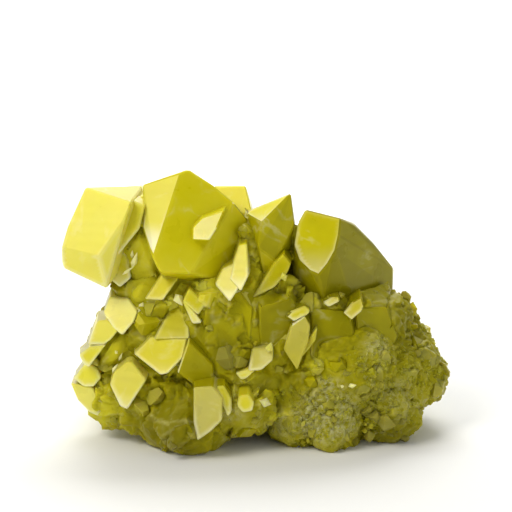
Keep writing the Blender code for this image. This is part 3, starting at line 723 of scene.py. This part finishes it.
def makeCrystals(surface, faces, material):
    # The sharp crystals. Points that belong to no sharp face sink under the mass, so this
    # piece stays closed: each goes inwards by the inset along its own normal. A broad crystal
    # turns milky below its middle, on the faces toward the key light only, and along its ridges,
    # by exp(-(distance / rim) ^ 2): partly milkiness, partly painted highlight.
    skin, normals = crystalSkin, faces["normals"]
    own = cellNumber(np.round(normals * skin["facings"]), skin["seed"]) * 2 - 1
    left, front = skin["light"]
    # The faces toward the key light, where the milk below shows: a painted highlight.
    lit = smooth(normals[:, 2] - normals[:, 0] * left - normals[:, 1] * front, *skin["lit"])
    mesh, carried = fineNet(surface, {
        "sharp": faces["sharp"], "cut": np.maximum(faces["sharp"], faces["buried"]),
        "owned": faces["owned"], "tone": faces["tone"] + own * skin["faceTone"],
        "milk": faces["milk"], "haze": faces["haze"], "lit": lit,
    })
    loops, owner = cornersOf(mesh)
    points = pointsOf(mesh)
    kept = np.zeros(len(points))
    np.maximum.at(kept, loops, carried["sharp"][owner])
    tone, milk, haze, lit = [carried[name][owner] for name in ("tone", "milk", "haze", "lit")]
    heights = np.append(column(sharpCrystals, "at")[:, 2], 0)
    reaches = np.append(column(sharpCrystals, "reach"), 1)
    which = carried["owned"][owner].astype(int)
    drop = (heights[which] - points[loops, 2] / mm) / reaches[which]
    drop = np.where(which < 0, 0, drop)  # the crystals behind have rims and no milky foot
    size, depth = skin["clouds"]
    patchy = 1 - depth + depth * softNoise(points, size * mm, skin["seed"], 2)[loops]
    away = distanceTo(ridgesOf(surface, faces["sharp"]), points) / mm
    # Whiter along the ridges, more so low down: partly milky edges, partly a painted edge highlight.
    rim = skin["rimMilkAndHighlight"] * np.exp(-(away[loops] / skin["rim"]) ** 2)
    rim = rim * lerp(skin["rimTop"], 1, smooth(drop, *skin["rimFall"])) * patchy
    rim = rim * smooth(milk, 0, skin["rimFull"])
    uneven = drop + skin["footWave"] * (patchy - (1 - depth))
    # Milk below the middle shows only on faces toward the key light, a painted highlight; the haze shows
    # everywhere.
    body = np.maximum(milk * lit * smooth(uneven, 0, skin["foot"]), haze * patchy)
    putPoints(mesh, points - pointNormals(mesh) * (1 - kept)[:, None] * skin["inset"] * mm)
    setLook(mesh, "CORNER", tone, np.maximum(rim, body), np.zeros(len(loops)))
    return addPiece("sulfur_crystals", mesh, material)


# The mass in millimetres. Faces tilt by that much, the druse is that high in sizes and the fine
# grains in millimetres. Calmed is how much weaker a layer is in the calm zones.
massSkin = {
    "voxel": 0.7, "blur": 2, "rounding": (4, 0.6),  # net, blur of the limits, passes and share
    "edge": (0.15, 0.85), "lift": 0.5, "sink": 0.9,  # soft share where it is down, and is up
    "blocks": {"size": 8.5, "tilt": 0.16, "calmed": 0.4, "tone": 0.16, "seed": 12},
    "chips": {"size": 3.4, "tilt": 0.2, "calmed": 0.75, "tone": 0.1, "least": 0.35, "seed": 62},
    "druse": {"size": 3.2, "height": 0.3, "base": 0.4, "seed": 112},
    "fine": {"size": 1.5, "height": 0.2, "base": 0.6, "seed": 212},
    "tone": (0.5, 0.48), "across": (-20, 40),  # left and right, a little darker at the right, partly painted shade away from the key light and partly a darker sulfur, and where the one turns to the other
    "low": (4, 22), "lowTone": 0.1, "ridgeMilk": 0.22, "chipRidge": 0.5,
}


def rightward(points):  # 0 at the left, 1 at the right
    return smooth(points[:, 0] / mm, *massSkin["across"])


def evenNet(surface, sharp, material):
    # The cluster's surface on an even net. Each face remembers whether it was sharp.
    mesh = surface.copy()
    mesh.name = "sulfur_mass"
    setAttribute(mesh, "sharp", "FACE", sharp)
    mesh.remesh_voxel_size = massSkin["voxel"] * mm
    mesh.remesh_voxel_adaptivity = 0
    mesh.use_remesh_preserve_attributes = True
    mesh.use_remesh_fix_poles = False
    mesh.use_remesh_preserve_volume = False
    obj = addPiece(mesh.name, mesh, material)
    bpy.context.view_layer.objects.active = obj
    obj.select_set(True)
    bpy.ops.object.voxel_remesh()
    obj.select_set(False)
    return obj


def makeMass(surface, faces, material):
    # The granular mass: its ridges are rounded off where no crystal is sharp. Then it is lifted
    # along the normal by broad flat faces and small ones, and in the granular zones also by
    # blunt peaks and round grains, base - (distance to spot)^2. Under crystals it sinks.
    obj = evenNet(surface, faces["sharp"], material)
    mesh = obj.data
    loops, owner = cornersOf(mesh)
    ends = readAll(mesh.edges, "vertices", 2, np.int32)
    points = pointsOf(mesh)
    sharp = readAll(mesh.attributes["sharp"].data, "value")[owner]
    touching = np.bincount(loops, minlength=len(points))
    soft = 1 - np.bincount(loops, sharp, len(points)) / np.maximum(touching, 1)
    for _ in range(massSkin["blur"]):
        soft = neighbourMean(soft[:, None], ends)[:, 0]
    passes, share = massSkin["rounding"]
    for _ in range(passes):
        points = lerp(points, neighbourMean(points, ends), share * soft[:, None])
    putPoints(mesh, points)
    normals = pointNormals(mesh)
    granular = zoneWeight(points, granularZones)
    calm = zoneWeight(points, calmZones)
    up = smooth(soft, *massSkin["edge"])
    layer = massSkin["blocks"]
    blocks, blockTone, blockRidge = flatFaces(points, normals, layer)
    blocks = blocks * up * (1 - granular) * (1 - layer["calmed"] * calm)
    points += normals * blocks[:, None]
    tone = layer["tone"] * (blockTone - 0.5) * (1 - granular)
    layer = massSkin["chips"]
    chips, chipTone, chipRidge = flatFaces(points, normals, layer)
    chips = chips * lerp(layer["least"], 1, granular) * (1 - layer["calmed"] * calm)
    tone = tone + layer["tone"] * (chipTone - 0.5)
    layer = massSkin["druse"]
    druse = druseRelief(points, layer["size"] * mm, layer["seed"])
    druse = (druse + layer["base"]) * layer["size"] * layer["height"]
    layer = massSkin["fine"]
    fine = nearestSpots(points, layer["size"] * mm, layer["seed"])[0][0]
    fine = (layer["base"] - fine ** 2) * layer["height"]
    lift = massSkin["lift"] + chips / mm + granular * (druse + fine)
    points += normals * lerp(-massSkin["sink"], lift, up)[:, None] * mm
    points[:, 2] = np.maximum(points[:, 2], 0)
    putPoints(mesh, points)
    low = 1 - smooth(points[:, 2] / mm, *massSkin["low"])
    tone = lerp(*massSkin["tone"], rightward(points)) + massSkin["lowTone"] * low + tone
    ridge = np.maximum(blockRidge * (1 - granular), massSkin["chipRidge"] * chipRidge)
    frost = zoneWeight(points, frostZones)
    # The mass takes the painted light and shade of the zones.
    setLook(mesh, "POINT", tone + paintedLightAndShade(points), massSkin["ridgeMilk"] * ridge, frost)
    setAttribute(mesh, "soft", "POINT", soft)
    mesh.polygons.foreach_set("use_smooth", np.ones(len(mesh.polygons), bool))
    mesh.update()
    return obj


# One small sulfur crystal: the steep pyramid from its waist down into the mass and up to the
# blunt pyramid, then the flat base. Each row is height and half width, in half widths.
crystalProfile = np.array([(-0.9, 0.5), (0.0, 1.0), (0.9, 0.52), (1.1, 0.22)])
# A splinter: a steep pyramid both ways, one end drawn out.
splinterProfile = np.array([(-0.8, 0.1), (-0.1, 1.0), (0.5, 0.7), (1.3, 0.05)])
axisRatio = 0.813  # a to b in sulfur's rhombic section


def crystalForm(profile):
    # The profile carried round the four corners of a rhomb: corner k of a row lies at its
    # half width times (ratio cos, sin) of k quarter turns.
    turn = np.arange(4) * math.pi / 2
    width = profile[:, 1, None]
    ring = np.stack([width * axisRatio * np.cos(turn), width * np.sin(turn),
                     np.repeat(profile[:, :1], 4, axis=1)], axis=2)
    rows = len(profile)
    faces = [(r * 4 + k, r * 4 + (k + 1) % 4, r * 4 + 4 + (k + 1) % 4, r * 4 + 4 + k)
             for r in range(rows - 1) for k in range(4)]
    faces += [(3, 2, 1, 0), tuple(4 * rows - 4 + k for k in range(4))]
    return ring.reshape(-1, 3), np.array(faces)


def manyCrystals(name, profile, spots, directions, sizes, rolls, stretch=1.0):
    # The form set at every spot: its own axes are across, beside and along the direction, and
    # it is stretched along the last one. Across is square to z, or to x where it points up.
    form, faces = crystalForm(profile)
    side = np.where(np.abs(directions[:, 2:]) > 0.9, [[1.0, 0, 0]], [[0, 0, 1.0]])
    across = np.cross(side, directions)
    across /= np.linalg.norm(across, axis=1)[:, None]
    beside = np.cross(directions, across)
    c, s = np.cos(rolls)[:, None], np.sin(rolls)[:, None]
    across, beside = across * c + beside * s, beside * c - across * s
    directions = directions * np.reshape(stretch, (-1, 1))
    axes = np.stack([across, beside, directions], axis=1) * sizes[:, None, None] / 2
    points = spots[:, None] + np.einsum("fk,nkj->nfj", form, axes)
    corners = (faces[None] + (np.arange(len(spots)) * len(form))[:, None, None]).reshape(-1, 4)
    mesh = bpy.data.meshes.new(name)
    mesh.from_pydata(points.reshape(-1, 3), [], corners)
    return mesh


# Small crystals strewn on the mass: how many, how wide in millimetres, how deep they sit, in
# widths, how far they lean, where, and how much fewer there are in the calm zones.
crusts = {
    "bedded_crystals": {
        "count": 400, "size": (2.6, 6.5), "sunk": 0.42, "tilt": 0.55, "zones": None, "calm": 0.85,
        "tone": (0.36, 0.6), "milk": 0.1, "frost": 0.0, "seed": 31,
    },
    "granular_crust": {
        "count": 4600, "size": (0.9, 2.2), "sunk": 0.58, "tilt": 0.45, "zones": granularZones, "calm": 0,
        "tone": (0.62, 0.84), "milk": 0.04, "frost": 0.3, "seed": 32,
    },
    "frost_crust": {
        "count": 2000, "size": (0.5, 1.1), "sunk": 0.45, "tilt": 1.0, "zones": frostZones, "calm": 0,
        "tone": (0.6, 0.8), "milk": 0.12, "frost": 0.6, "seed": 33,
    },
}
# Least softness and height of their places, a shift in nets, the power that makes small ones
# commoner, and how much darker they are at the right: partly painted shade away from the key
# light, partly a darker sulfur there.
strewn = {"soft": 0.8, "height": 1, "shift": 0.4, "power": 1.8, "darker": 0.12}


def makeCrust(name, rules, mass, material):
    # Each crystal's place is a face of the mass, picked by area times the zones' weight, and it
    # points along the face's normal plus a random lean.
    chance = np.random.default_rng(rules["seed"])
    mesh = mass.data
    middles, normals = facePlanes(mesh)
    areas = readAll(mesh.polygons, "area").astype(float)
    soft = readAll(mesh.attributes["soft"].data, "value")
    soft = soft[readAll(mesh.polygons, "vertices", 4, np.int32)].mean(axis=1)
    weight = areas * (soft > strewn["soft"]) * (middles[:, 2] > strewn["height"] * mm)
    weight = weight * (1 - rules["calm"] * zoneWeight(middles, calmZones))
    if rules["zones"]:
        weight = weight * zoneWeight(middles, rules["zones"])
    count = rules["count"]
    picked = chance.choice(len(weight), count, p=weight / weight.sum())
    spots, facing = middles[picked], normals[picked]
    shift = strewn["shift"]
    spots = spots + chance.uniform(-shift, shift, spots.shape) * massSkin["voxel"] * mm
    sizes = lerp(*rules["size"], chance.uniform(0, 1, count) ** strewn["power"]) * mm
    directions = facing + chance.normal(0, rules["tilt"] / 2, facing.shape)
    directions /= np.linalg.norm(directions, axis=1)[:, None]
    spots = spots - facing * (sizes * rules["sunk"])[:, None]
    rolls = chance.uniform(0, math.pi, count)
    crust = manyCrystals(name, crystalProfile, spots, directions, sizes, rolls)
    points = pointsOf(crust)
    points[:, 2] = np.maximum(points[:, 2], 0)
    putPoints(crust, points)
    # Each crystal takes the painted light and shade of the zones.
    tone = chance.uniform(*rules["tone"], count) - strewn["darker"] * rightward(spots) + paintedLightAndShade(spots)
    frost = zoneWeight(spots, frostZones) * rules["frost"]
    each = len(points) // count
    milk = np.full(len(points), rules["milk"])
    setLook(crust, "POINT", np.repeat(tone, each), milk, np.repeat(frost, each))
    return addPiece(name, crust, material)


# Small loose pieces that catch the eye: the middle of each, the way it points, how wide it is
# in millimetres and how many times longer, its roll in degrees, its tone and how milky it is.
plainSplinter = {"roll": 0, "tone": 1.0, "milk": 0.55}
splinters = {
    "notch_upper": {"at": (-33, -13.5, 50.5), "along": (0.3, -0.2, 0.9), "size": (1.8, 2.6), "roll": 20},
    "notch_lower": {"at": (-35, -14, 48), "along": (0.75, -0.2, 0.6), "size": (1.3, 3.0), "roll": 50},
    "notch_point": {"at": (-33.5, -13.5, 52.5), "along": (0.1, -0.3, 0.9), "size": (1.0, 2.2)},
    "slab_tail": {"at": (-31, -16.5, 39), "along": (-0.45, -0.1, -0.9), "size": (1.6, 1.8), "roll": 40},
    "slab_crumb": {"at": (-29.5, -16.5, 38), "along": (0.9, -0.2, -0.3), "size": (1.2, 1.2), "roll": 10,
        "tone": 0.9, "milk": 0.7},
    "collar_tip": {"at": (-21, -16, 41), "along": (0.5, -0.5, -0.7), "size": (3.6, 1.0), "roll": 30,
        "tone": 0.9, "milk": 0.6},
    "heel_sliver": {"at": (-38.5, -17, 21.5), "along": (0.5, -0.1, 0.85), "size": (1.3, 2.2), "roll": 15},
    "cheek_sliver": {"at": (-37, -16, 24.5), "along": (0.4, -0.1, 0.9), "size": (1.0, 2.4), "roll": 45,
        "tone": 0.9, "milk": 0.6},
    "cheek_crumb": {"at": (-38, -16, 26), "along": (-0.3, -0.6, 0.7), "size": (1.2, 1.2), "roll": 60,
        "tone": 0.9, "milk": 0.5},
    "round_grain": {"at": (7.5, -16, 47), "along": (0.0, -0.9, 0.4), "size": (2.6, 0.7), "roll": 20,
        "tone": 0.9, "milk": 0.15},
    "oval_grain": {"at": (2.5, -26.5, 15), "along": (0.1, -0.9, 0.4), "size": (3.4, 0.6), "roll": 70,
        "tone": 0.8, "milk": 0.5},
    "flank_fleck": {"at": (25.5, -24.5, 19), "along": (0.8, -0.5, 0.3), "size": (1.5, 1.6), "roll": 15},
    "flank_crumb": {"at": (23, -25, 19), "along": (0.5, -0.8, 0.3), "size": (1.2, 1.1), "roll": 55,
        "tone": 0.9, "milk": 0.6},
    "claw_tooth": {"at": (3.5, -23.5, 29), "along": (0.3, -0.2, 0.95), "size": (2.2, 1.4),
        "tone": 0.6, "milk": 0.2},
}


def makeSplinters(material):
    roll, tone, milk = [column(splinters, key, plain) for key, plain in plainSplinter.items()]
    spots, along = toFrame(column(splinters, "at")), column(splinters, "along")
    along /= np.linalg.norm(along, axis=1)[:, None]
    wide, long = column(splinters, "size").T
    mesh = manyCrystals("splinters", splinterProfile, spots, along, wide * mm, np.radians(roll), long)
    each = len(mesh.vertices) // len(splinters)
    setLook(mesh, "POINT", np.repeat(tone, each), np.repeat(milk, each), np.zeros(len(mesh.vertices)))
    return addPiece("splinters", mesh, material)


print("camera, light and floor")
makeCamera()
makeLight()
makeFloor(paperFloor())
crystalSulfur = sulfurMaterial("resinous_sulfur_crystal")
massiveSulfur = sulfurMaterial("granular_massive_sulfur")

print("reading the cluster")
surface = mergedNode()
faces = faceValues(surface)
print("sharp crystals")
crystals = makeCrystals(surface, faces, crystalSulfur)
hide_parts(nodeName)
print("granular mass")
mass = makeMass(surface, faces, massiveSulfur)
for name, rules in crusts.items():
    print(name.replace("_", " "))
    makeCrust(name, rules, mass, massiveSulfur)
print("splinters")
makeSplinters(crystalSulfur)
